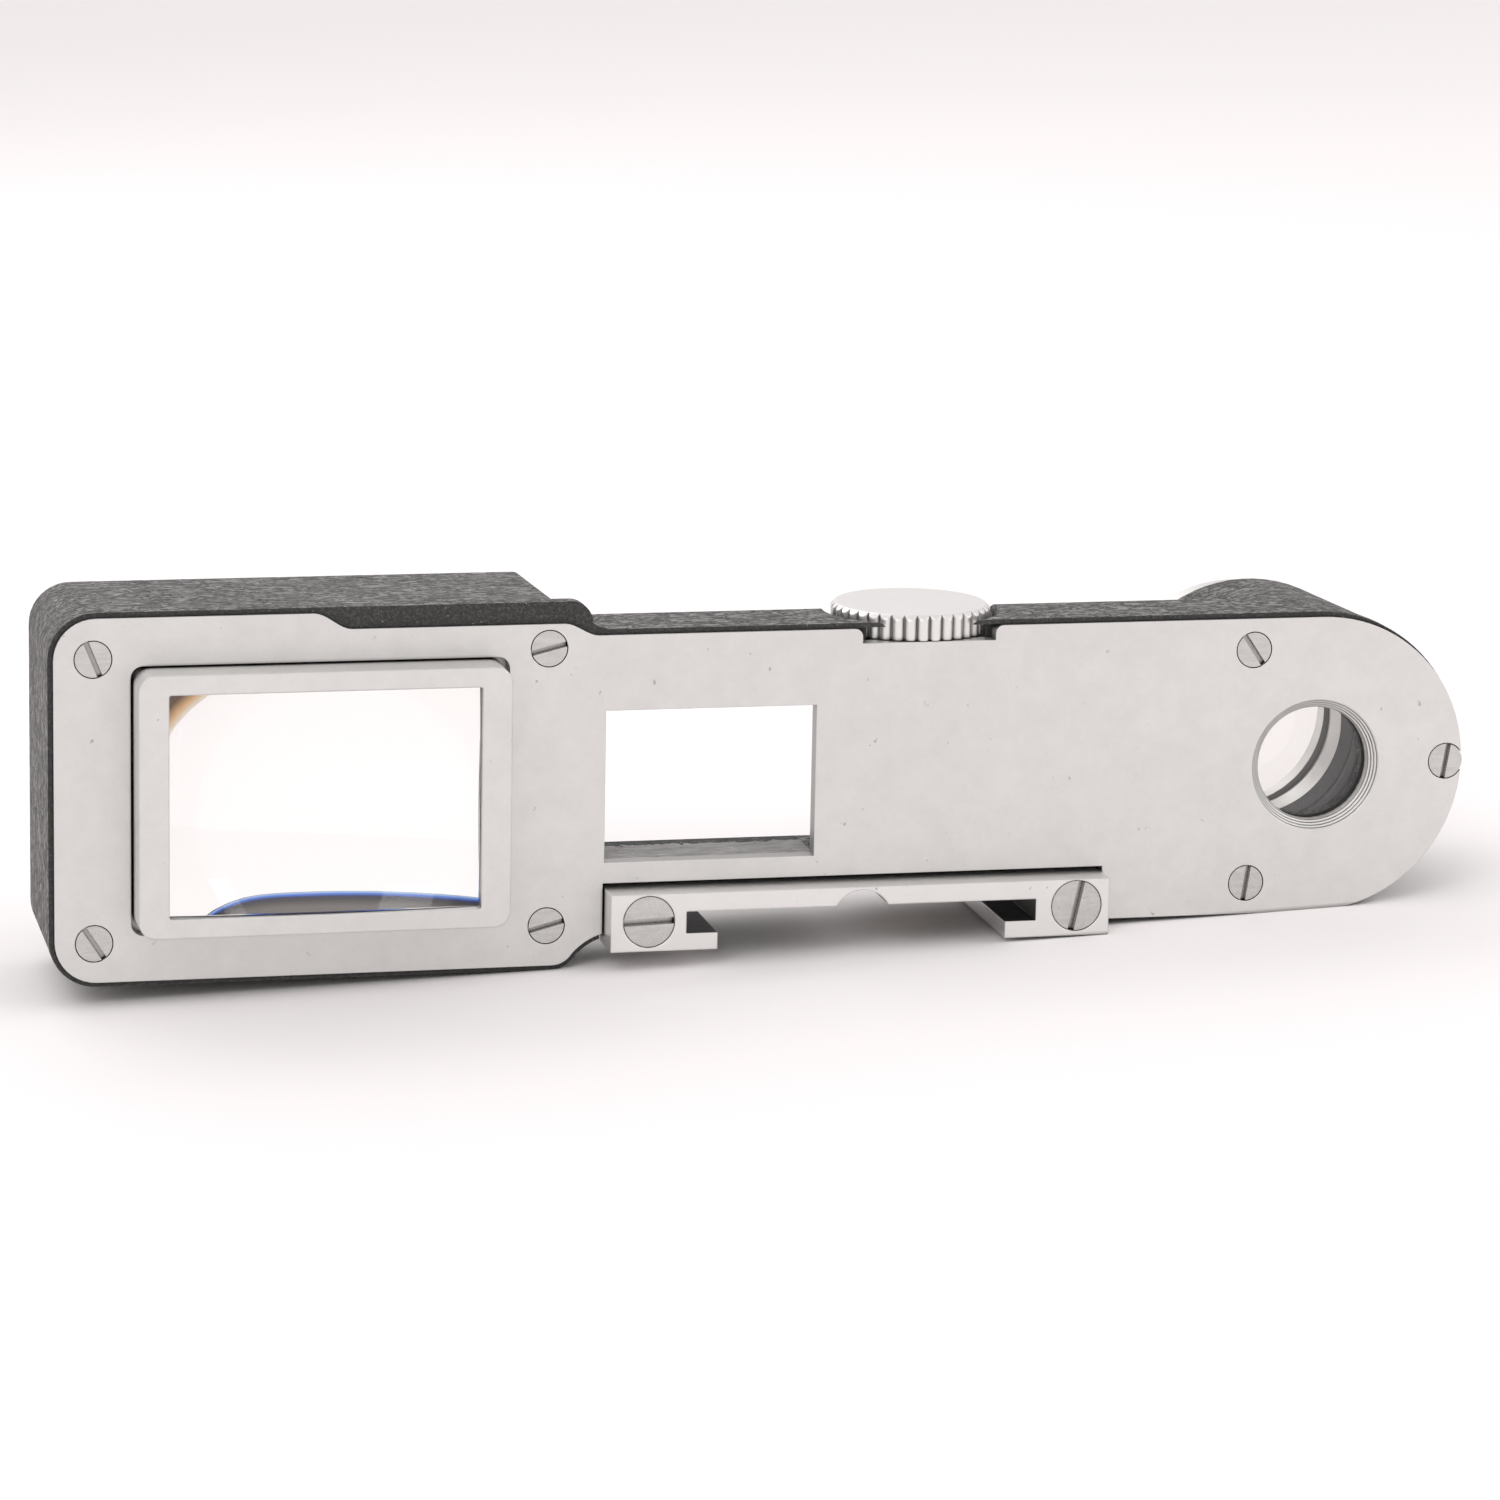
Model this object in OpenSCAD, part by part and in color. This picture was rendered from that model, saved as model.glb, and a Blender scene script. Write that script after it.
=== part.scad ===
// Viewfinder and rangefinder attachment for a 35 mm camera: a cast body behind a chromed plate,
// with a finder head, an open middle window, a rangefinder barrel and a clamping shoe.
// Lengths are in millimetres. Inside place(), X runs along the plate from its left end,
// Y runs away from the plate's face, and Z runs up from the plate's lower edge at the head.

/* [Plate] */
// Length of the plate
plate_len = 97.2; // [90:0.1:105]
// Thickness of the plate
plate_t = 1.2; // [0.8:0.1:1.6]
// Height of the head
head_h = 24.4; // [23:0.1:26]
// Height of the lowered edge on the right half of the head
head_step_z = 23.3; // [22.6:0.1:23.8]
// Top edge of the bridge
bridge_top = 22.45; // [21:0.05:23]
// Lower edge of the bridge
bridge_low = 1.8; // [1:0.1:3]
// Corner radius at the head's left end
corner_r = 2.8; // [1:0.1:4]
// How far the casting's rim stands out beyond the plate
lip = 0.35; // [0.2:0.05:0.6]

/* [Casting] */
// Depth of the head, from the plate's face
head_depth = 14.6; // [12:0.1:18]
// Depth of the bridge, from the plate's face
bridge_depth = 6.2; // [5:0.1:8]
// Depth of the rangefinder barrel, from the plate's face
barrel_depth = 16.4; // [12:0.1:18]
// Draft of the head's walls, over its whole depth
head_draft = 0.35; // [0:0.05:0.6]
// Right wall of the head
head_right = 33.7; // [33.3:0.1:35.5]
// Front and back of the rim that the plate is let into
rim_y = [0.3, 1.4]; // [0.1:0.1:2]

/* [Finder] */
// Middle of the finder opening, along the plate
finder_x = 17.57; // [16:0.01:19]
// Middle of the finder opening, above the lower edge
finder_z = 12.25; // [12:0.05:13]
// Width and height of the finder opening
finder_open = [20.72, 14.96]; // [14:0.02:21]
// Outer width and height of the rear lens frame
frame_size = [24.7, 17.6]; // [16:0.05:25]
// How far the rear lens frame stands proud of the plate
frame_proud = 2.8; // [2:0.1:5]

/* [Middle window] */
// Left, right, lower and upper edge of the middle window
window = [36.8, 51.26, 6.93, 17.33]; // [0:0.01:60]

/* [Rangefinder barrel] */
// Middle of the round window, along the plate
round_x = 86.65; // [86:0.05:87]
// Radius of the round window
round_r = 3.95; // [3:0.05:4.2]
// Depth of the countersink in front of it
round_sink = 0.7; // [0.4:0.1:1]
// Bore of the barrel
barrel_bore_r = 7.2; // [6.5:0.1:8]
// Radius of the front ring
ring_r = 9.3; // [8.5:0.1:10]
// Depth of the front ring, from the plate's face
ring_depth = 20.5; // [18:0.1:22]
// Clear radius of the front ring
ring_open_r = 6.6; // [5:0.1:6.8]

/* [Clamp] */
// Axis of the clamp knob, along the plate
knob_x = 59.0; // [58:0.1:60]
// Axis of the clamp knob, behind the plate's face
knob_y = 5.4; // [5:0.1:6]
// Radius of the knob
knob_r = 5.46; // [5:0.02:6]
// Lower and upper face of the knob
knob_z = [21.5, 23.2]; // [21:0.05:25]
// Number of flutes around the knob
flutes = 38; // [24:1:48]
// Radius of the pocket that the knob sits in
pocket_r = 5.9; // [5.7:0.1:6.5]
// Rounding of the pocket's upper edge
pocket_edge = 0.5; // [0.2:0.1:0.8]
// Radius of the spindle
spindle_r = 1.5; // [1.2:0.05:1.8]
// Travel of the clamp plunger
plunger_travel = 0.8; // [0.3:0.1:1]

/* [Shoe] */
// Left and right end of the shoe
shoe_x = [36.84, 71.45]; // [36:0.01:73]
// Lower and upper face of the shoe
shoe_z = [1.3, 5.2]; // [1:0.1:6]
// How far the shoe stands proud of the plate
shoe_proud = 2.33; // [1:0.1:4]
// Depth of the shoe's rails, from the plate's face
shoe_depth = 13.1; // [9:0.1:14]
// Width of the slot between the rails
slot_w = 24.3; // [18:0.1:25]
// Width of the gap between the hooks
gap_w = 20.0; // [16:0.1:22]
// Lower and upper face of the slot
slot_z = [2.44, 3.95]; // [2:0.01:4.5]

/* [Fasteners] */
// Head radius of the plate screws
screw_r = 1.2; // [1:0.05:1.4]
// Head radius of the shoe screws
shoe_screw_r = 1.72; // [1.5:0.02:1.9]

/* [Hidden] */
$fn = 64;
CUT = 1;            // how far a cutting tool runs past the face it cuts
GAP = 0.05;         // clearance between fitted pieces
INSET = 0.04;       // how far the casting's walls stand back from its rim
end_r = (bridge_top - bridge_low) / 2;
end_x = plate_len - end_r;
mid_z = (bridge_top + bridge_low) / 2;
cast_low = bridge_low - 0.15;   // lower edge of the casting's bridge
cast_r = (bridge_top + lip - cast_low) / 2;     // its round end, a little back from the plate's
cast_x = end_x - 0.3;
cast_z = (bridge_top + lip + cast_low) / 2;
body_y = plate_t;   // front face of the casting
block_y = rim_y[1] - 0.1;       // where the casting's walls start, inside its rim
pocket_floor = 21.2;
shoe_mid = (shoe_x[0] + shoe_x[1]) / 2;
seat_size = [22.3, 17.0];       // lens seat in the rear frame
flange_size = [26.4, 19.2];     // flange that the plate holds down
flange_t = 1.7;
tube_rear = [21.6, 17.4];       // outer size of the finder tube at its rear end
tube_front = [22.0, 19.6];      // and at its front end
bezel_size = [24.6, 22.0];
bezel_in = 12.4;                // depth at which the front bezel's recess starts
bezel_out = head_depth + 2.0;
screw_spots = [[2.6, 21.7, -68], [2.6, 2.65, -57], [32.9, 21.65, 14], [32.9, 2.75, 15],
    [round_x + 9.43, mid_z, 81], [round_x + 9.43 * cos(120), mid_z + 9.43 * sin(120), -56],
    [round_x + 9.43 * cos(240), mid_z + 9.43 * sin(240), 82]];
shoe_screw_spots = [[shoe_x[0] + 2.6, 3.33, 2], [shoe_x[1] - 2.3, 3.38, 78]];
chrome = [0.86, 0.85, 0.83];
black = [0.16, 0.16, 0.16];
glass = [0.85, 0.92, 0.95, 0.4];

// Points along an arc in the plate's plane
function arc(x, z, r, a, b, n = 10) =
    [for (i = [0:n]) let (t = a + (b - a) * i / n) [x + r * cos(t), z + r * sin(t)]];
// Points along a smooth step from one height to another
function s_step(x0, z0, x1, z1, n = 8) =
    [for (i = [0:n]) let (t = i / n) [x0 + (x1 - x0) * t, z0 + (z1 - z0) * (1 - cos(180 * t)) / 2]];
// Lower edge between the head and the bridge
function lower_edge(e) = concat(
    arc(corner_r, corner_r, corner_r + e, 180, 270),
    arc(33.3, 1.6, 1.6 + e, 270, 315, 5),
    arc(38.0, -2.25, 4.5 - e, 135, 108, 5));
// Upper edge of the head and its two steps
function head_edge(e) = concat(
    s_step(36.3 + e, bridge_top + e, 33.9 + e, head_step_z + e),
    s_step(19.7 + e, head_step_z + e, 17.1 + e, head_h + e),
    arc(corner_r, head_h - corner_r, corner_r + e, 90, 180));
// Round end of the bridge
function end_edge(e) = arc(end_x, mid_z, end_r + e, -90, 90, 48);

// Outline of the plate, without its notch and cut-out, moved out by e
function plate_outline(e) = concat(lower_edge(e), [[36.7, bridge_low - e]], end_edge(e),
    head_edge(e));
// Outline of the casting's rim, which stays level where the head's plate is lowered
function rim_outline() = concat(lower_edge(lip), arc(cast_x, cast_z, cast_r, -90, 90, 48),
    [[37.0, bridge_top + lip], [36.3, bridge_top + lip + 0.2]],
    arc(34.4, head_h + lip - 1.5, 1.5, 0, 90),
    arc(corner_r, head_h - corner_r, corner_r + lip, 90, 180));

module place() {
    translate([-plate_len / 2, -(ring_depth - frame_proud) / 2, lip]) children();
}
// Extrudes a shape drawn in X and Z from depth y0 to depth y1
module slab(y0, y1) {
    translate([0, y1, 0]) rotate([90, 0, 0]) linear_extrude(y1 - y0) children();
}
module round_rect(size, r) {
    x = size[0] / 2 - r;
    z = size[1] / 2 - r;
    polygon(concat(arc(x, z, r, 0, 90, 6), arc(-x, z, r, 90, 180, 6),
        arc(-x, -z, r, 180, 270, 6), arc(x, -z, r, 270, 360, 6)));
}
// A block on the finder's axis
module finder_block(size, r, y0, y1) {
    slab(y0, y1) translate([finder_x, finder_z]) round_rect(size, r);
}
// A block that widens from one size to another
module flared_block(size0, size1, r, y0, y1) {
    hull() {
        finder_block(size0, r, y0, y0 + 0.01);
        finder_block(size1, r, y1 - 0.01, y1);
    }
}
// A cylinder along Y, from depth y0 to depth y1
module drum(x, z, y0, y1, r, r2 = -1) {
    translate([x, y0, z]) rotate([-90, 0, 0]) cylinder(h = y1 - y0, r1 = r, r2 = r2 < 0 ? r : r2);
}
// A cylinder along Z on the clamp's axis
module post(z0, z1, r, r2 = -1) {
    translate([knob_x, knob_y, z0]) cylinder(h = z1 - z0, r1 = r, r2 = r2 < 0 ? r : r2);
}
module box(x, y, z) {
    translate([x[0], y[0], z[0]]) cube([x[1] - x[0], y[1] - y[0], z[1] - z[0]]);
}
module tube_on_axis(r_out, r_in, y0, y1) {
    difference() {
        drum(round_x, mid_z, y0, y1, r_out);
        drum(round_x, mid_z, y0 - CUT, y1 + CUT, r_in);
    }
}

// Outline of the head behind its rim, with its walls moved in by d; the underside stays flat
module head_outline(d) {
    r = 0.6;
    right = head_right - max(0, d - head_draft);
    top = head_h + lip - 1.4 * d;
    left_r = corner_r + lip - d;
    polygon(concat(
        arc(corner_r, left_r - lip, left_r, 180, 270),
        arc(right - 1.2, 1.2 - lip, 1.2, 270, 360, 8),
        arc(right - r, top - r, r, 0, 90, 6),
        arc(corner_r, top - left_r, left_r, 90, 180)));
}
module head_block() {
    hull() {
        slab(block_y, rim_y[1]) head_outline(INSET);
        slab(head_depth - 0.4, head_depth - 0.35) head_outline(head_draft);
        slab(head_depth - 0.15, head_depth - 0.1) head_outline(head_draft + 0.08);
        slab(head_depth - 0.05, head_depth) head_outline(head_draft + 0.2);
    }
}
module bridge_block() {
    r = 0.25;
    y = bridge_depth;
    low = cast_low + INSET;
    top = bridge_top + lip - INSET;
    translate([30, 0, 0]) rotate([90, 0, 90]) linear_extrude(cast_x - 30)
        polygon(concat([[block_y, low], [y - r, low]], arc(y - r, low + r, r, 270, 360, 6),
            arc(y - r, top - r, r, 0, 90, 6), [[block_y, top]]));
}
module barrel_block() {
    r = cast_r - INSET;
    edge = 0.3;
    translate([cast_x, 0, cast_z]) rotate([-90, 0, 0]) rotate_extrude($fn = 96)
        polygon(concat([[0, block_y], [r, block_y]],
            arc(r - 0.55 - edge, barrel_depth - edge, edge, 0, 90, 6), [[0, barrel_depth]]));
}
// Square hole that keeps the clamp plunger from turning
module plunger_guide(size, z0, z1) {
    box([knob_x - size / 2, knob_x + size / 2], [knob_y - size / 2, knob_y + size / 2], [z0, z1]);
}
// Round pocket with a rounded upper edge
module knob_pocket() {
    top = bridge_top + lip + 0.03;
    r = pocket_r + pocket_edge;
    translate([knob_x, knob_y, 0]) rotate_extrude($fn = 96) polygon(concat(
        [[0, pocket_floor], [pocket_r, pocket_floor]],
        [for (a = [180:-15:90]) [r + pocket_edge * cos(a), top - pocket_edge + pocket_edge * sin(a)]],
        [[r, top + 2], [0, top + 2]]));
}
module body_casting() {
    boss_r = 4.5;
    color(black) place() difference() {
        union() {
            slab(rim_y[0], rim_y[1]) polygon(rim_outline());
            head_block();
            bridge_block();
            barrel_block();
            post(shoe_z[1] + 2 * GAP, pocket_floor, boss_r);
        }
        // recess that the plate is let into, and room for the front of the shoe
        slab(rim_y[0] - CUT, body_y) polygon(plate_outline(0.03));
        box([36.6, 71.7], [-CUT, body_y], [-CUT, 5.6]);
        // middle window, set back on the right
        box([window[0], window[1] + 1.8], [0, bridge_depth + CUT], [window[2], window[3] + 0.3]);
        // finder channel and its recesses for the flange and the front bezel
        flared_block(tube_rear + [0.2, 0.2], tube_front + [0.2, 0.2], 0.5, body_y, head_depth + CUT);
        finder_block(flange_size + [0.2, 0.2], 1.0, body_y - CUT, body_y + flange_t);
        finder_block(bezel_size + [0.1, 0.1], 1.0, bezel_in, head_depth + CUT);
        // barrel bore and the seat of the round window's glass
        drum(round_x, mid_z, 3.0, barrel_depth + CUT, barrel_bore_r);
        drum(round_x, mid_z, body_y - CUT, body_y + 1.05, 4.6 + GAP);
        drum(round_x, mid_z, body_y, 4, round_r);
        // pocket of the knob, bore of the bush and guide of the plunger
        knob_pocket();
        post(11, pocket_floor + CUT, 2.5);
        plunger_guide(5.2, 0, 12);
        // room for the shoe between the two lugs
        box([40.9, 67.5], [0, head_depth], [-CUT, shoe_z[1] + 2 * GAP]);
        // room for the screw head at the plate's round end
        drum(screw_spots[4][0], screw_spots[4][1], -CUT, 0.95, screw_r + 0.07);
        // tapped holes
        for (s = screw_spots) drum(s[0], s[1], body_y - CUT, 5.6, 0.72);
        for (s = shoe_screw_spots) drum(s[0], s[1], body_y - CUT, 5.3, 1.13);
    }
}
module rear_plate() {
    color(chrome) place() difference() {
        slab(0, plate_t) polygon(concat(lower_edge(0),
            [[36.72, 2.03], [36.72, 5.52], [71.6, 5.52], [71.6, bridge_low]], end_edge(0),
            arc(64.15, 21.9, bridge_top - 21.9, 90, 180, 5), [[63.6, 21.45], [54.35, 21.45]],
            arc(53.8, 21.9, bridge_top - 21.9, 0, 90, 5), head_edge(0)));
        slab(-CUT, plate_t + CUT) translate([finder_x + 0.08, finder_z - 0.12])
            round_rect(frame_size + [0.5, 0.5], 0.8);
        box([window[0], window[1]], [-CUT, plate_t + CUT], [window[2], window[3]]);
        drum(round_x, mid_z, -CUT, plate_t + CUT, round_r);
        drum(round_x, mid_z, 0, round_sink, round_r + 0.65, round_r);
        for (s = screw_spots) {
            drum(s[0], s[1], -CUT, 0.85, screw_r + 0.07);
            drum(s[0], s[1], 0, plate_t + CUT, 0.72);
        }
    }
}
// A slotted screw whose head's face is at depth y
module slotted_screw(s, y, r, head_t, shank_r, tip, slot_w, slot_d) {
    difference() {
        union() {
            drum(s[0], s[1], y, y + head_t, r);
            drum(s[0], s[1], y + head_t, tip, shank_r);
        }
        translate([s[0], y, s[1]]) rotate([0, -s[2], 0])
            box([-r - CUT, r + CUT], [-CUT, slot_d], [-slot_w / 2, slot_w / 2]);
    }
}
module plate_screws() {
    color(chrome) place() for (s = screw_spots)
        slotted_screw(s, 0.02, screw_r, 0.83, 0.68, 5.2, 0.36, 0.45);
}
module shoe_screws() {
    color(chrome) place() for (s = shoe_screw_spots)
        slotted_screw(s, -shoe_proud + 0.03, shoe_screw_r, 1.4, 1.09, 5.0, 0.45, 0.6);
}
module rear_lens_frame() {
    lip_t = 0.8;
    color(chrome) place() difference() {
        union() {
            finder_block(frame_size, 1.1, -frame_proud, body_y + flange_t - GAP);
            finder_block(flange_size, 0.9, body_y + 0.01, body_y + flange_t - GAP);
        }
        finder_block(finder_open, 0.15, -frame_proud - CUT, 0);
        finder_block(seat_size, 0.3, -frame_proud + lip_t, body_y + flange_t + CUT);
    }
}
// A sphere whose surface crosses the finder's axis at depth y
module crown(y, r) {
    translate([finder_x, y + r, finder_z]) sphere(r = abs(r), $fn = 400);
}
// Rear lens: a gentle crown in the frame's opening and a stronger one behind
module rear_lens() {
    color(glass) place() intersection() {
        union() {
            finder_block(finder_open - [0.1, 0.1], 0.1, -frame_proud, -1.9);
            finder_block(seat_size - [0.1, 0.1], 0.3, -1.95, 2.2);
        }
        crown(-frame_proud + 0.03, 100);
        crown(2.16, -30);
    }
}
module front_lens() {
    color(glass) place() intersection() {
        finder_block([21.5, 19.3], 0.3, 13.25, 15.7);
        crown(15.7, -90);
    }
}
// Lower edge of the mask's opening, at x from the finder's axis
function mask_low(x) =
    -6.53 - (x < -0.5 ? 1.15 * pow((x + 0.5) / 6.4, 4) : 0.73 * pow((x + 0.5) / 10.9, 2));
// Black mask behind the rear lens, with a bowed lower edge and one round corner
module finder_mask() {
    color(black) place() slab(1.5, 1.75) translate([finder_x, finder_z]) difference() {
        round_rect(seat_size - [0.2, 0.2], 0.3);
        polygon(concat([[-10.5, -8.2]], [for (i = [0:20]) let (x = -7.5 + 0.9 * i)
            [x, max(-8.2, mask_low(x))]], [[10.5, 8.0]], arc(-2, -0.6, 8.6, 90, 180)));
    }
}
module rear_lens_retainer() {
    color(black) place() difference() {
        finder_block(seat_size - [0.1, 0.1], 0.3, 1.8, 2.8);
        finder_block([21.2, 16.5], 0.3, 1, 3);
    }
}
module finder_tube() {
    wall = [1.0, 0.8];
    color(black) place() difference() {
        flared_block(tube_rear, tube_front - [0.2, 0.4], 0.4, body_y + flange_t, 13.2);
        flared_block(tube_rear - wall, tube_front - [0.2, 0.4] - wall, 0.2, 2.5, 13.6);
    }
}
module front_lens_bezel() {
    color(chrome) place() difference() {
        finder_block(bezel_size, 0.9, bezel_in + 0.05, bezel_out);
        finder_block([21.9, 19.5], 0.3, bezel_in - CUT, 15.8);
        finder_block([20.6, 18.2], 0.3, 15, bezel_out + CUT);
    }
}
module window_glass() {
    color(glass) place() drum(round_x, mid_z, body_y + 0.02, body_y + 1.0, 4.6);
}
module barrel_sleeve() {
    color(black) place() tube_on_axis(barrel_bore_r - 0.03, 6.7, 3.05, 8.0);
}
module wedge_cell() {
    color(black) place() difference() {
        tube_on_axis(barrel_bore_r - 0.03, 5.8, 8.05, 12.0);
        drum(round_x, mid_z, 9, 12 + CUT, 6.5);
    }
}
// A round wedge that bends the rangefinder's beam a little to one side
module wedge_prism() {
    color(glass) place() difference() {
        drum(round_x, mid_z, 9.02, 11.6, 6.45);
        translate([round_x, 11.5, mid_z]) rotate([0, 0, 3])
            box([-9, 9], [-0.4, 4], [-9, 9]);
    }
}
module ring_seal() {
    color(black) place() tube_on_axis(barrel_bore_r - 0.03, 6.4, 12.05, 14.2);
}
module front_round_lens() {
    crown_r = 60;
    color(glass) place() intersection() {
        drum(round_x, mid_z, 16.6, 18.95, 7.0);
        translate([round_x, 18.9 - crown_r, mid_z]) sphere(r = crown_r, $fn = 400);
    }
}
module front_ring() {
    color(chrome) place() difference() {
        union() {
            drum(round_x, mid_z, 14.25, barrel_depth + 0.01, barrel_bore_r - 0.03);
            drum(round_x, mid_z, barrel_depth + 0.01, ring_depth - 0.4, ring_r);
            drum(round_x, mid_z, ring_depth - 0.4, ring_depth, ring_r, ring_r - 0.4);
        }
        drum(round_x, mid_z, 14, 16.5, 6.4);
        drum(round_x, mid_z, 16.5, 19.0, 7.0 + GAP);
        drum(round_x, mid_z, 18, ring_depth + CUT, ring_open_r);
    }
}
// Cross-section of the shoe: a channel whose hooks turn in under its ceiling
module shoe_section(x, z) {
    difference() {
        translate([x[0], z[0]]) square([x[1] - x[0], z[1] - z[0]]);
        translate([shoe_mid - gap_w / 2, z[0] - CUT]) square([gap_w, slot_z[1] - z[0] + CUT]);
        translate([shoe_mid - slot_w / 2, slot_z[0]]) square([slot_w, slot_z[1] - slot_z[0]]);
        translate([shoe_mid, 2.95]) circle(r = 2.05);
    }
}
module shoe() {
    color(chrome) place() difference() {
        union() {
            slab(-shoe_proud, body_y - 0.02) shoe_section(shoe_x, shoe_z);
            slab(body_y - 0.02, shoe_depth) shoe_section([41.0, 67.4], shoe_z);
        }
        for (s = shoe_screw_spots) {
            drum(s[0], s[1], -shoe_proud - CUT, -shoe_proud + 1.45, shoe_screw_r + 0.06);
            drum(s[0], s[1], -shoe_proud, body_y + CUT, 1.13);
        }
        post(slot_z[0], shoe_z[1] + CUT, 2.06);
    }
}
module wave_washer() {
    color(chrome) place() difference() {
        post(pocket_floor + 0.01, pocket_floor + 0.2, 4.2);
        post(pocket_floor - CUT, pocket_floor + CUT, 2.6);
    }
}
module spindle_bush() {
    color([0.78, 0.66, 0.36]) place() difference() {
        post(12.1, pocket_floor, 2.5);
        post(11, pocket_floor + CUT, spindle_r + GAP);
    }
}
module clamp_spindle() {
    color([0.6, 0.6, 0.62]) place() {
        post(12.0, 22.6, spindle_r);
        post(11.1, 12.0, 2.4);
        post(6.6, 11.1, 1.2);
    }
}
module clamp_knob() {
    rib_r = 0.42;
    rim = 0.3;
    color(chrome) place() difference() {
        intersection() {
            translate([knob_x, knob_y, knob_z[0]]) linear_extrude(knob_z[1] - knob_z[0]) {
                circle(r = knob_r - 0.3);
                for (i = [0:flutes - 1]) rotate(i * 360 / flutes)
                    translate([knob_r - rib_r, 0]) circle(r = rib_r, $fn = 16);
            }
            union() {
                post(knob_z[0], knob_z[1] - rim, knob_r + 0.01);
                post(knob_z[1] - rim, knob_z[1], knob_r + 0.01, knob_r - rim);
            }
        }
        post(knob_z[0] - CUT, 22.6, spindle_r);
    }
}
module clamp_plunger() {
    color([0.75, 0.62, 0.34]) place() difference() {
        union() {
            plunger_guide(5.1, 6.1, 10.1);
            post(slot_z[1] + GAP, 6.1, 2.0);
        }
        post(5.7, 11, 1.2 + GAP);
    }
}

body_casting();
rear_plate();
plate_screws();
rear_lens_frame();
rear_lens();
finder_mask();
rear_lens_retainer();
finder_tube();
front_lens();
front_lens_bezel();
window_glass();
barrel_sleeve();
wedge_cell();
wedge_prism();
ring_seal();
front_round_lens();
front_ring();
shoe();
shoe_screws();
wave_washer();
spindle_bush();
clamp_spindle();
clamp_knob();
clamp_plunger();
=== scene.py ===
"""Looks for a viewfinder and rangefinder attachment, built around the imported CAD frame.

Lengths are in metres unless a name ends in _mm or _MM, or the comment over it says millimetres.
X runs along the plate, -Y faces the camera that the attachment sits on, Z is up, as in the CAD
frame.
"""
import math

import bpy
from mathutils import Matrix, Vector


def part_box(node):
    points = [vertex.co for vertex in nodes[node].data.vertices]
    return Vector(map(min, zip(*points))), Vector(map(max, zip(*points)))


MM = 0.001

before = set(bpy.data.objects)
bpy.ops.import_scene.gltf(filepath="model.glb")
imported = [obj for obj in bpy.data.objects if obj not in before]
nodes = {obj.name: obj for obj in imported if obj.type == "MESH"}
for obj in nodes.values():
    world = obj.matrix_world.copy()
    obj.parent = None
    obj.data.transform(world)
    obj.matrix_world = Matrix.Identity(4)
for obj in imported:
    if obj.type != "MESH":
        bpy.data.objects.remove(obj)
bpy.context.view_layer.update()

# Places on the plate, in millimetres from its left edge and from its lowest edge
FINDER_X, FINDER_Z = 17.57, 12.25               # middle of the finder opening
ROUND_X, ROUND_Z = 86.65, 12.125                # middle of the round window
SINK_RADIUS = 4.65                              # just outside its countersink
WINDOW_X, WINDOW_Z = (36.6, 51.45), (6.7, 17.5)     # just outside the middle window
# the slots are coloured near black as painted shade
HOOK_SLOT_Z, HOOK_SLOT_REACH = (2.40, 4.0), 12.2    # slots in the shoe, either side of its middle
INNER_FACES = 0.06      # how far behind a front face the faces of an opening begin

# The finder mask's outline, along which its painted, glowing light fringes lie, in millimetres
# from the middle of the finder opening
BOW_TOP_X, BOW_TOP_Z = -0.5, -6.53              # highest point of its bowed lower edge
BOW_LEFT = (6.4, 4.0, 1.15)                     # reach, power and drop to the left of it
BOW_RIGHT = (10.9, 2.0, 0.73)                   # and to the right of it
CORNER_X, CORNER_Z, CORNER_RADIUS = -2.0, -0.6, 8.6     # its round upper left corner
# the coloured band is painted light, set to glow
FRINGE_WIDTH = 2.0                              # coloured band along that corner

# Camera: turned to the right, tipped down and rolled, aimed at a place on the plate
YAW, PITCH, ROLL = math.radians(13.45), math.radians(-12.02), math.radians(1.12)
AIM_X_MM, AIM_Z_MM = 46.69, 14.37
AIM_DISTANCE = 0.3935
LENS_MM, SENSOR_MM = 140.8, 36.0

FLOOR_SIZE = 4.0
HEAD_FOOT_MM = 33.2     # how far along the plate the head's underside touches the floor
FLOOR_GAP_MM = 0.02     # how far under that place the floor lies
SKY_COLOUR, SKY_STRENGTH = (0.955, 0.925, 0.93, 1), 0.95
# name: place, target, width and height, power in watts
LIGHTS = {
    "back": ((-0.12, 0.30, 0.31), (0, 0.03, 0), (0.35, 0.25), 0.45),
    "front": ((-0.5, -0.7, 0.7), (0, 0, 0), (0.5, 0.5), 2.0),
    "right": ((0.7, -0.3, 0.5), (0, 0, 0), (0.4, 0.4), 1.2),
}
SMOOTH_ANGLE = math.radians(28)     # edges sharper than this stay sharp in the shading
FRONT_NORMAL = -0.7     # faces whose normal's Y is under this look towards the camera side


def plate_point(x_mm, y_mm, z_mm):
    """A point given from the plate's left edge, its face and its lowest edge."""
    plate_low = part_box("rear_plate")[0]
    return Vector((plate_low.x + x_mm * MM, plate_low.y + y_mm * MM, plate_low.z + z_mm * MM))


# ---------------------------------------------------------------- node helpers

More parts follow.
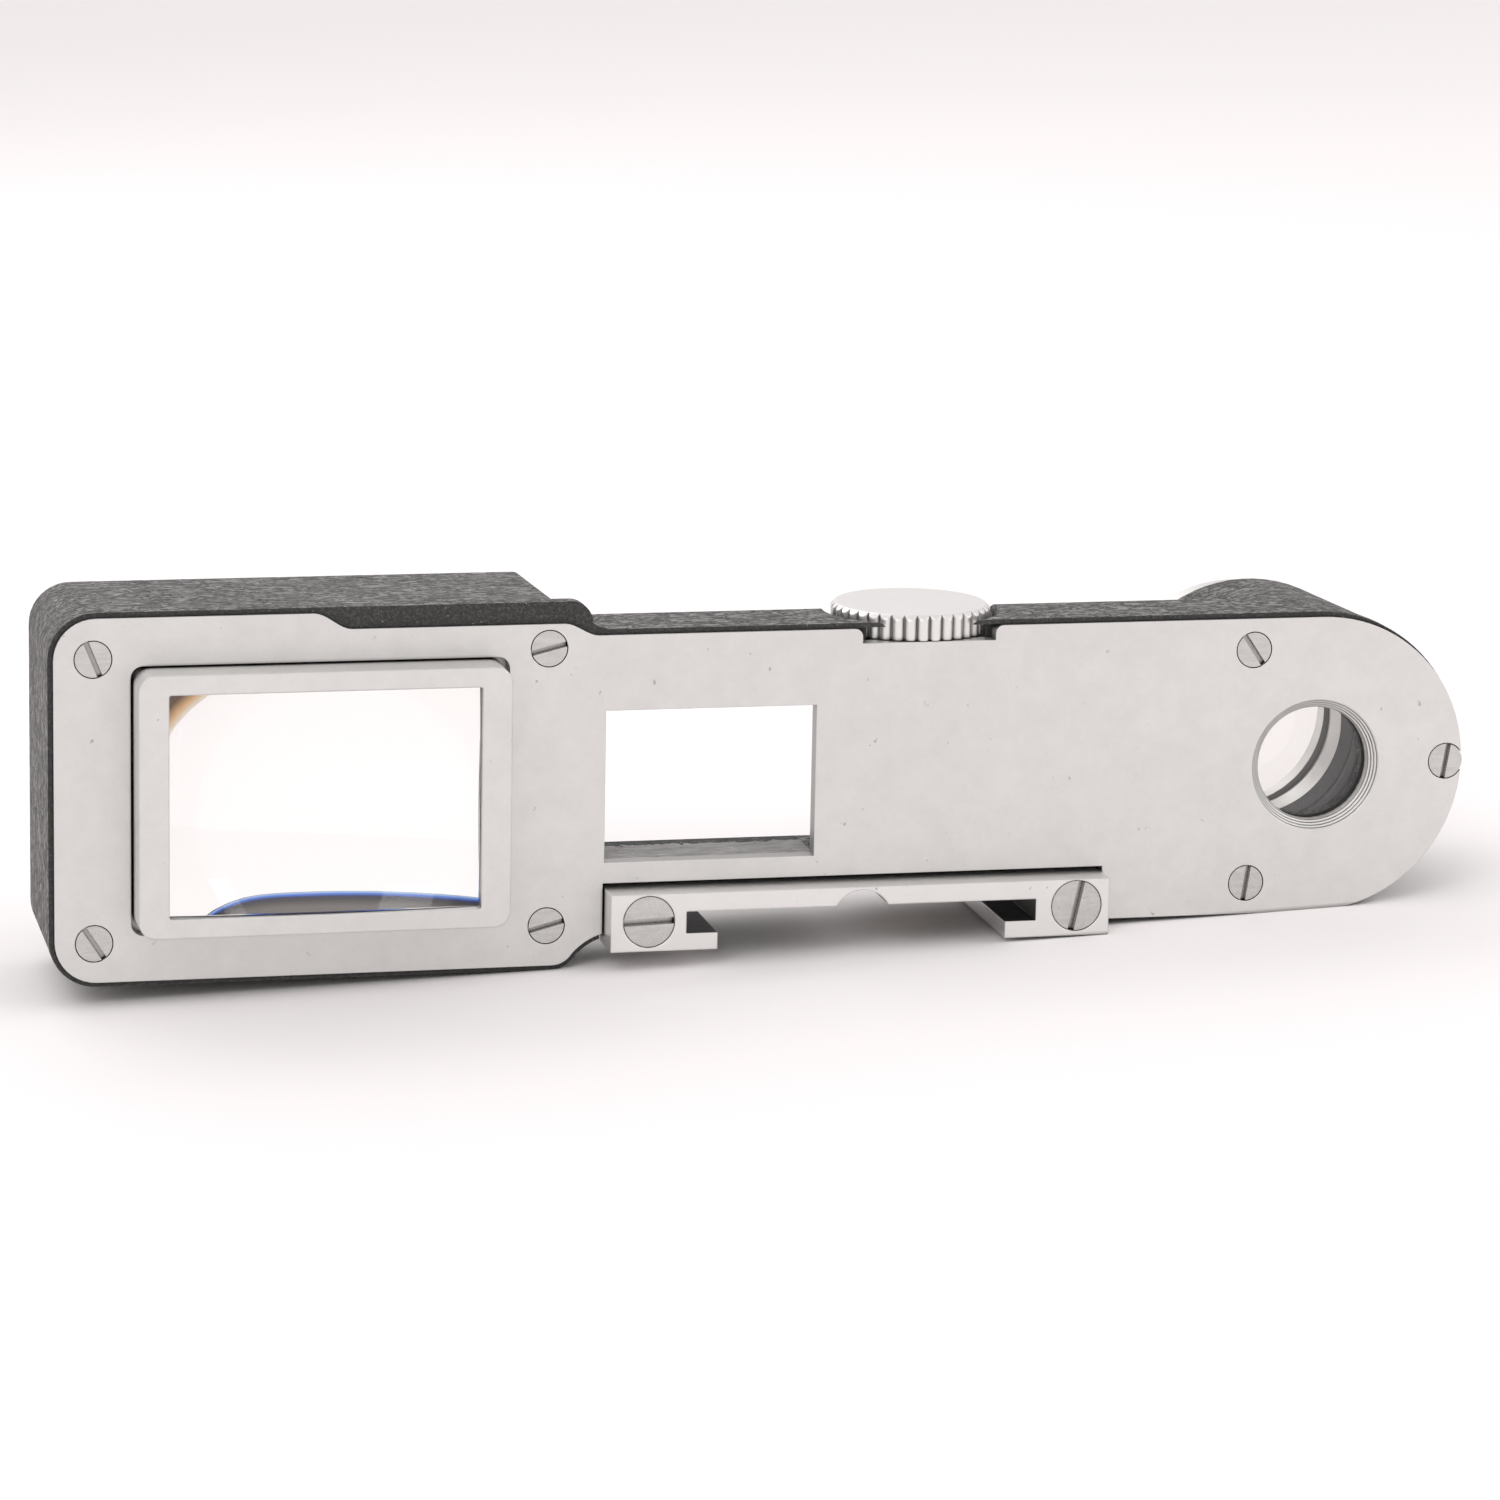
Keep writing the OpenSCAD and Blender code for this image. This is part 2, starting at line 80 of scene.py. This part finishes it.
class Shader:
    """A material's node tree, with short calls for the nodes that the materials below share."""

    def __init__(self, name):
        self.material = bpy.data.materials.new(name)
        self.material.use_nodes = True
        self.tree = self.material.node_tree
        self.tree.nodes.clear()
        output = self.add("ShaderNodeOutputMaterial")
        self.surface = self.add("ShaderNodeBsdfPrincipled")
        self.tree.links.new(self.surface.outputs[0], output.inputs["Surface"])
        self.place = self.add("ShaderNodeTexCoord").outputs["Object"]

    def add(self, kind, **inputs):
        node = self.tree.nodes.new(kind)
        for key, value in inputs.items():
            self.put(node, key.replace("_", " "), value)
        return node

    def put(self, node, key, value):
        """Links a node's output to the input, or sets the input to a number or colour."""
        if hasattr(value, "is_output"):
            self.tree.links.new(value, node.inputs[key])
        else:
            node.inputs[key].default_value = value

    def set(self, **inputs):
        for key, value in inputs.items():
            self.put(self.surface, key.replace("_", " "), value)

    def mapping(self, scale=(1, 1, 1), rotation=(0, 0, 0)):
        return self.add("ShaderNodeMapping", Vector=self.place, Scale=scale,
                        Rotation=rotation).outputs[0]

    def noise(self, size_mm, detail=3.0, rough=0.5, vector=None, distort=0.0):
        """Noise whose blobs are about size_mm across."""
        return self.add("ShaderNodeTexNoise", Vector=vector or self.place,
                        Scale=1.0 / (size_mm * MM), Detail=detail, Roughness=rough,
                        Distortion=distort).outputs["Fac"]

    def ramp(self, value, *stops):
        """stops are (position, grey or colour)."""
        node = self.add("ShaderNodeValToRGB", Fac=value)
        elements = node.color_ramp.elements
        while len(elements) < len(stops):
            elements.new(0.5)
        for element, (at, colour) in zip(elements, stops):
            element.position = at
            grey = isinstance(colour, (int, float))
            element.color = (*((colour,) * 3 if grey else colour), 1)
        return node.outputs[0]

    def remap(self, value, low, high, to_low, to_high):
        return self.add("ShaderNodeMapRange", Value=value, From_Min=low, From_Max=high,
                        To_Min=to_low, To_Max=to_high).outputs[0]

    def math(self, kind, a, b=0.0):
        node = self.tree.nodes.new("ShaderNodeMath")
        node.operation = kind
        self.put(node, 0, a)
        self.put(node, 1, b)
        return node.outputs[0]

    def all_of(self, *tests):
        """1 where every (value, "over" or "under", limit) holds, else 0."""
        result = 1.0
        for value, side, limit in tests:
            kind = "GREATER_THAN" if side == "over" else "LESS_THAN"
            result = self.math("MULTIPLY", result, self.math(kind, value, limit))
        return result

    def mix(self, fac, a, b):
        node = self.tree.nodes.new("ShaderNodeMix")
        node.data_type = "RGBA"
        self.put(node, 0, fac)
        for key, value in ((6, a), (7, b)):
            self.put(node, key, value if hasattr(value, "is_output") else (*value, 1))
        return node.outputs[2]

    def bump(self, height, depth_mm, strength=1.0, normal=None):
        node = self.add("ShaderNodeBump", Height=height, Strength=strength,
                        Distance=depth_mm * MM)
        if normal:
            self.put(node, "Normal", normal)
        return node.outputs[0]

    def xyz(self):
        """The place in the CAD frame, as three outputs."""
        return self.add("ShaderNodeSeparateXYZ", Vector=self.place).outputs[:3]

    def true_normal(self):
        """The flat face's normal, as three outputs."""
        normal = self.add("ShaderNodeNewGeometry").outputs["True Normal"]
        return self.add("ShaderNodeSeparateXYZ", Vector=normal).outputs[:3]

    def reach(self, middle):
        """Distance from middle, in the plate's plane."""
        x, _, z = self.xyz()
        across, up = self.math("SUBTRACT", x, middle.x), self.math("SUBTRACT", z, middle.z)
        return self.math("SQRT", self.math("ADD", self.math("MULTIPLY", across, across),
                                           self.math("MULTIPLY", up, up)))

    def painted_gap_shade(self, reach_mm, power=1.0):
        """Painted shade: 1 in open places, falling to 0 in slots, gaps and corners narrower than
        reach_mm, where the colour is darkened.
        """
        node = self.add("ShaderNodeAmbientOcclusion", Distance=reach_mm * MM)
        node.samples = 8
        return self.math("POWER", node.outputs["AO"], power)

    def worn_edge(self, radius_mm):
        """The normal with every edge rounded off by radius_mm."""
        node = self.add("ShaderNodeBevel", Radius=radius_mm * MM)
        node.samples = 4
        return node.outputs[0]


# --------------------------------------------------------------- parts of faces

def in_middle_window(s):
    """1 on the faces inside the middle window."""
    low = plate_point(WINDOW_X[0], 0, WINDOW_Z[0])
    high = plate_point(WINDOW_X[1], 0, WINDOW_Z[1])
    x, y, z = s.xyz()
    return s.all_of((x, "over", low.x), (x, "under", high.x), (z, "over", low.z),
                    (z, "under", high.z), (y, "over", low.y + INNER_FACES * MM))


def in_shaded_hook_slot(s):
    """1 inside the slots that take the camera's accessory shoe, which are coloured near black as
    painted shade.
    """
    shoe_low, shoe_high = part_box("shoe")
    low, high = (plate_point(0, 0, z_mm).z for z_mm in HOOK_SLOT_Z)
    x, y, z = s.xyz()
    off_middle = s.math("ABSOLUTE", s.math("SUBTRACT", x, (shoe_low.x + shoe_high.x) / 2))
    return s.all_of((off_middle, "under", HOOK_SLOT_REACH * MM), (z, "over", low),
                    (z, "under", high), (y, "over", shoe_low.y + INNER_FACES * MM))


def countersink_rings(s):
    """Height of the turned rings round the round window, 0 away from it."""
    middle = plate_point(ROUND_X, 0, ROUND_Z)
    ring_step = 0.16 * MM
    reach = s.reach(middle)
    near = s.all_of((reach, "under", SINK_RADIUS * MM),
                    (s.xyz()[1], "over", middle.y + 0.03 * MM))
    rings = s.math("SINE", s.math("MULTIPLY", reach, 2.0 * math.pi / ring_step))
    rough = s.noise(0.12, 3.0, 0.7)
    return s.math("MULTIPLY", near, s.math("ADD", s.math("MULTIPLY", rings, 0.7), rough))


def bow_drop(s, across, reach, power, drop):
    """How far the mask's bowed edge has dropped on one side of its highest point."""
    side = s.math("MAXIMUM", s.math("MULTIPLY", across, 1.0 / reach), 0.0)
    return s.math("MULTIPLY", s.math("POWER", side, power), drop)


def below_bow(s):
    """Millimetres below the mask's bowed lower edge."""
    middle = plate_point(FINDER_X, 0, FINDER_Z)
    x, _, z = s.xyz()
    across = s.math("SUBTRACT", s.math("MULTIPLY", s.math("SUBTRACT", x, middle.x), 1.0 / MM),
                    BOW_TOP_X)
    above = s.math("MULTIPLY", s.math("SUBTRACT", z, middle.z), 1.0 / MM)
    left_reach, left_power, left_drop = BOW_LEFT
    sag = s.math("ADD", bow_drop(s, across, -left_reach, left_power, left_drop),
                 bow_drop(s, across, *BOW_RIGHT))
    return s.math("SUBTRACT", s.math("SUBTRACT", BOW_TOP_Z, sag), above)


# ------------------------------------------------------------------- materials

def satin_chrome(name="satin_chrome", tone=1.0, edge_mm=0.08, windows=False):
    """Fine-blasted chrome: soft and even, with faint clouding, dark specks and painted shade in
    gaps.

    windows adds the grey inner edge of the middle window and the round window's turned rings.
    """
    def toned(*colour):
        return tuple(channel * tone for channel in colour)

    s = Shader(name)
    cloud = s.noise(9.0, 4.0, 0.6)
    mottle = s.noise(1.6, 4.0, 0.7)
    grain = s.noise(0.14, 2.0, 0.6)
    speck = s.ramp(s.noise(0.9, 3.0, 0.65), (0.70, 0.0), (0.74, 1.0))
    warm = s.ramp(s.xyz()[0], (0.0, 0.0), (0.05, 1.0))
    tint = s.mix(cloud, toned(0.68, 0.673, 0.655), toned(0.76, 0.755, 0.738))
    tint = s.mix(s.math("MULTIPLY", warm, 0.35), tint, toned(0.77, 0.76, 0.73))
    tint = s.mix(s.remap(mottle, 0.35, 0.7, 0.0, 0.14), tint, (0.42, 0.41, 0.40))
    tint = s.mix(s.math("MULTIPLY", speck, 0.5), tint, (0.20, 0.18, 0.16))
    # painted shade: near-black colour in gaps, slots and corners
    tint = s.mix(s.painted_gap_shade(0.35, 1.5), (0.03, 0.028, 0.026), tint)
    normal = s.bump(grain, 0.008, 0.8, s.worn_edge(edge_mm))
    if windows:
        tint = s.mix(s.math("MULTIPLY", in_middle_window(s), 0.8), tint, (0.30, 0.29, 0.28))
        normal = s.bump(countersink_rings(s), 0.035, 1.0, normal)
    s.set(Base_Color=tint, Metallic=0.92, Normal=normal,
          Roughness=s.remap(s.math("ADD", cloud, grain), 0.6, 1.4, 0.36, 0.50))
    return s.material


def milled_chrome():
    """Bright chrome with very fine tool marks along X, painted shade near black in the slots under
    the shoe's hooks, and painted shade in gaps.
    """
    s = Shader("milled_chrome")
    marks = s.noise(0.10, 3.0, 0.6, s.mapping((0.05, 1.0, 1.0)))
    cloud = s.noise(5.0, 3.0)
    speck = s.ramp(s.noise(0.6, 3.0, 0.6), (0.71, 0.0), (0.75, 1.0))
    tint = s.mix(cloud, (0.76, 0.75, 0.735), (0.84, 0.83, 0.815))
    tint = s.mix(s.math("MULTIPLY", speck, 0.5), tint, (0.2, 0.18, 0.15))
    # painted shade: the slots under the shoe's hooks coloured near black
    tint = s.mix(s.math("MULTIPLY", in_shaded_hook_slot(s), 0.93), tint, (0.035, 0.034, 0.033))
    # painted shade: darker in gaps and corners
    s.set(Base_Color=s.mix(s.painted_gap_shade(0.35, 1.4), (0.05, 0.048, 0.045), tint), Metallic=0.95,
          Roughness=s.remap(marks, 0.3, 0.7, 0.30, 0.42),
          Normal=s.bump(marks, 0.006, 0.7, s.worn_edge(0.16)))
    return s.material


def turned_steel(name="turned_steel", tone=0.70):
    """Polished screw heads with fine turning marks, small scuffs and painted shade in the slot and
    round the head.
    """
    s = Shader(name)
    scuff = s.noise(0.7, 5.0, 0.7, distort=0.8)
    streak = s.noise(0.25, 3.0, 0.6, s.mapping((0.15, 1.0, 1.0), (0, 0.6, 0)))
    tint = s.mix(scuff, (tone * 0.72, tone * 0.71, tone * 0.69), (tone, tone * 0.985, tone * 0.96))
    tint = s.mix(s.remap(streak, 0.4, 0.7, 0.0, 0.35), tint, (0.42, 0.41, 0.395))
    # painted shade: near black in the slot and the gap round the head
    s.set(Base_Color=s.mix(s.painted_gap_shade(0.30, 1.3), (0.03, 0.027, 0.024), tint), Metallic=0.95,
          Roughness=s.remap(scuff, 0.35, 0.7, 0.22, 0.36), Normal=s.bump(streak, 0.01, 0.6))
    return s.material


def turned_brass():
    """Bare brass with fine turning marks."""
    s = Shader("turned_brass")
    fine = s.noise(0.2, 4.0, vector=s.mapping((0.3, 0.3, 1.0)))
    s.set(Base_Color=s.mix(fine, (0.50, 0.36, 0.15), (0.74, 0.57, 0.28)), Metallic=1.0,
          Roughness=s.remap(fine, 0.3, 0.7, 0.22, 0.38), Normal=s.bump(fine, 0.004, 0.5))
    return s.material


def leather_height(s, stretch):
    """Fine folded grain, drawn out along one direction: raised folds with narrow grooves."""
    vector = s.mapping(stretch)
    folds = s.noise(0.34, 3.0, 0.55, vector, 1.1)
    fine = s.noise(0.15, 3.0, 0.6, vector, 0.5)
    groove = s.math("ABSOLUTE", s.math("SUBTRACT", folds, 0.5))
    ridge = s.math("MINIMUM", s.math("MULTIPLY", groove, 9.0), 1.0)
    return s.math("ADD", s.math("MULTIPLY", ridge, 0.7), s.math("MULTIPLY", fine, 0.5))


def plain_paint(s, pits):
    """Colour of the rim's front face: flat black paint with light chips."""
    paint = s.mix(s.ramp(pits, (0.45, 0.0), (0.70, 1.0)), (0.020, 0.020, 0.019),
                  (0.075, 0.075, 0.070))
    chips = s.ramp(s.noise(0.16, 2.0, 0.6), (0.72, 0.0), (0.75, 1.0))
    return s.mix(chips, paint, (0.45, 0.44, 0.42))


def window_paint(s):
    """Colour inside the middle window: worn grey metal, then a ragged line of black paint."""
    streaks = s.noise(0.5, 5.0, 0.7, s.mapping((0.2, 1.0, 1.0)))
    bare = s.mix(s.ramp(streaks, (0.35, 0.0), (0.7, 1.0)), (0.24, 0.235, 0.23), (0.46, 0.45, 0.44))
    ragged = s.math("MULTIPLY", s.math("SUBTRACT", s.noise(0.8, 4.0, 0.7), 0.5), 2.6 * MM)
    paint_starts = plate_point(0, 4.9, 0).y
    far = s.math("GREATER_THAN", s.math("ADD", s.xyz()[1], ragged), paint_starts)
    return s.mix(far, bare, (0.02, 0.02, 0.02))


def wrinkle_black():
    """Black leather-grained covering whose folds run around the body."""
    s = Shader("wrinkle_black")
    nx, ny, _ = s.true_normal()
    sideways = s.ramp(s.math("ABSOLUTE", nx), (0.55, 0.0), (0.85, 1.0))
    facing = s.math("LESS_THAN", ny, FRONT_NORMAL)
    height = s.mix(sideways, leather_height(s, (0.30, 1.0, 1.0)),
                   leather_height(s, (1.0, 1.0, 0.30)))
    # lighter on the raised folds, near black in the grooves
    fold_tone = s.ramp(height, (0.36, 0.0), (0.66, 0.35), (0.95, 1.0))
    patches = s.noise(4.0, 3.0, 0.6)
    pits = s.noise(0.22, 4.0, 0.7)
    tone = s.mix(fold_tone, (0.006, 0.006, 0.006), (0.27, 0.264, 0.252))
    tone = s.mix(s.remap(patches, 0.35, 0.65, 0.0, 0.35), tone, (0.10, 0.098, 0.095))
    tone = s.mix(facing, tone, plain_paint(s, pits))
    tone = s.mix(in_middle_window(s), tone, window_paint(s))
    shine = s.mix(facing, s.remap(height, 0.3, 0.9, 0.70, 0.48), (0.6, 0.6, 0.6))
    # painted shade: near black in gaps, pockets and corners
    s.set(Base_Color=s.mix(s.painted_gap_shade(0.5), (0.008, 0.008, 0.008), tone), Roughness=shine,
          Normal=s.bump(s.mix(facing, height, pits), 0.10))
    return s.material


def matt_black():
    """Blackened inside of the finder and the barrel."""
    s = Shader("matt_black")
    fine = s.noise(0.15, 3.0)
    s.set(Base_Color=s.mix(fine, (0.012,) * 3, (0.03,) * 3), Roughness=0.6,
          Normal=s.bump(fine, 0.01, 0.5))
    return s.material


def black_with_painted_light_fringes():
    """The finder's inner mask: black, with painted light along its edges: coloured fringes, set to
    glow, in place of the light that the lens lets through.
    """
    s = Shader("black_with_painted_light_fringes")
    corner = plate_point(FINDER_X + CORNER_X, 0, FINDER_Z + CORNER_Z)
    past_corner = s.math("DIVIDE", s.math("SUBTRACT", s.reach(corner), CORNER_RADIUS * MM),
                         FRINGE_WIDTH * MM)
    # painted light: blue fringe along the bowed lower edge, fading to grey below it
    blue = s.ramp(below_bow(s), (0.0, (0.55, 0.72, 0.96)), (0.16, (0.07, 0.20, 0.75)),
                  (0.32, (0.03, 0.035, 0.10)), (0.52, (0.06, 0.056, 0.054)),
                  (1.0, (0.20, 0.18, 0.17)))
    # painted light: cream and amber fringe past the round upper left corner
    amber = s.ramp(past_corner, (0.0, (0.93, 0.83, 0.72)), (0.18, (0.72, 0.45, 0.22)),
                   (0.38, (0.16, 0.09, 0.05)), (0.62, (0.10, 0.085, 0.075)),
                   (1.0, (0.16, 0.15, 0.14)))
    upper = s.math("GREATER_THAN", s.xyz()[2], corner.z)
    lens_side = s.math("LESS_THAN", s.true_normal()[1], FRONT_NORMAL)
    tint = s.mix(lens_side, (0.012, 0.012, 0.012), s.mix(upper, blue, amber))
    fine = s.noise(0.4, 3.0)
    # painted light: the fringes glow through Emission, though the mask is no lamp
    s.set(Base_Color=s.mix(s.remap(fine, 0.3, 0.7, 0.0, 0.12), tint, (0.05, 0.05, 0.05)),
          Roughness=0.7, Normal=s.bump(fine, 0.01, 0.5),
          Emission_Color=s.mix(lens_side, (0.0, 0.0, 0.0), tint), Emission_Strength=0.55)
    return s.material


def lens_glass():
    """Clear glass with a little dust."""
    s = Shader("lens_glass")
    dust = s.ramp(s.noise(0.7, 3.0, 0.6), (0.74, 0.0), (0.78, 1.0))
    s.set(Base_Color=(0.985, 0.98, 0.975, 1), Transmission_Weight=1.0, IOR=1.5,
          Roughness=s.math("MULTIPLY", dust, 0.15))
    return s.material


def finish_cad_nodes():
    """Gives every CAD node its material and smooth shading."""
    chrome, milled, steel = satin_chrome(), milled_chrome(), turned_steel()
    brass, spring = turned_brass(), turned_steel("spring_steel", 0.6)
    matt, glass = matt_black(), lens_glass()
    finish = {
        "body_casting": wrinkle_black(),
        "rear_plate": satin_chrome("plate_chrome", windows=True),
        "rear_lens_frame": satin_chrome("frame_chrome", 1.02, 0.2),
        "finder_mask": black_with_painted_light_fringes(),
        "plate_screws": steel, "shoe_screws": steel,
        "front_lens_bezel": chrome, "front_ring": chrome,
        "shoe": milled, "clamp_knob": milled,
        "rear_lens_retainer": matt, "finder_tube": matt, "barrel_sleeve": matt,
        "wedge_cell": matt, "ring_seal": matt,
        "rear_lens": glass, "front_lens": glass, "window_glass": glass, "wedge_prism": glass,
        "front_round_lens": glass,
        "wave_washer": spring, "clamp_spindle": spring,
        "spindle_bush": brass, "clamp_plunger": brass,
    }
    for name, node in nodes.items():
        node.data.materials.clear()
        node.data.materials.append(finish[name])
        node.data.polygons.foreach_set("use_smooth", [True] * len(node.data.polygons))
        node.data.set_sharp_from_angle(angle=SMOOTH_ANGLE)


# ------------------------------------------------------------ camera and light

def add_camera():
    """The photograph's view, rolled a little because the attachment leans."""
    forward = Vector((math.sin(YAW) * math.cos(PITCH), math.cos(YAW) * math.cos(PITCH),
                      math.sin(PITCH)))
    right = Vector((math.cos(YAW), -math.sin(YAW), 0))
    up = right.cross(forward)
    right, up = (right * math.cos(ROLL) + up * math.sin(ROLL),
                 up * math.cos(ROLL) - right * math.sin(ROLL))
    turn = Matrix((right, up, -forward)).transposed()
    camera = bpy.data.objects.new("camera", bpy.data.cameras.new("camera"))
    camera.data.lens = LENS_MM
    camera.data.sensor_width = SENSOR_MM
    place = plate_point(AIM_X_MM, 0, AIM_Z_MM) - forward * AIM_DISTANCE
    camera.matrix_world = Matrix.Translation(place) @ turn.to_4x4()
    bpy.context.scene.collection.objects.link(camera)
    bpy.context.scene.camera = camera


def resting_floor():
    """A floor through the right ends of the undersides of the head and the shoe.

    The barrel's round end dips about 0.3 mm through it.
    """
    head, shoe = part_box("body_casting"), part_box("shoe")
    foot_x = plate_point(HEAD_FOOT_MM, 0, 0).x
    slope = math.atan2(shoe[0].z - head[0].z, shoe[1].x - foot_x)
    bpy.ops.mesh.primitive_plane_add(size=FLOOR_SIZE)
    floor = bpy.context.object
    floor.name = "floor"
    floor.matrix_world = Matrix.Translation(Vector((foot_x, 0, head[0].z - FLOOR_GAP_MM * MM))) \
        @ Matrix.Rotation(-slope, 4, "Y")
    s = Shader("pale_floor")
    s.set(Base_Color=(0.91, 0.885, 0.885, 1), Roughness=0.7, Specular_IOR_Level=0.2)
    floor.data.materials.append(s.material)


def area_light(name, place, target, size, power):
    data = bpy.data.lights.new(name, "AREA")
    data.shape = "RECTANGLE"
    data.size, data.size_y = size
    data.energy = power
    light = bpy.data.objects.new(name, data)
    light.location = place
    light.rotation_euler = (Vector(target) - Vector(place)).to_track_quat("-Z", "Y").to_euler()
    bpy.context.scene.collection.objects.link(light)


def add_light():
    """A pale sky all round and three soft lights."""
    world = bpy.data.worlds.new("studio")
    world.use_nodes = True
    sky = world.node_tree.nodes["Background"]
    sky.inputs["Color"].default_value = SKY_COLOUR
    sky.inputs["Strength"].default_value = SKY_STRENGTH
    bpy.context.scene.world = world
    for name, (place, target, size, power) in LIGHTS.items():
        area_light(name, place, target, size, power)
    bpy.context.scene.view_settings.view_transform = "Standard"


finish_cad_nodes()
add_camera()
resting_floor()
add_light()
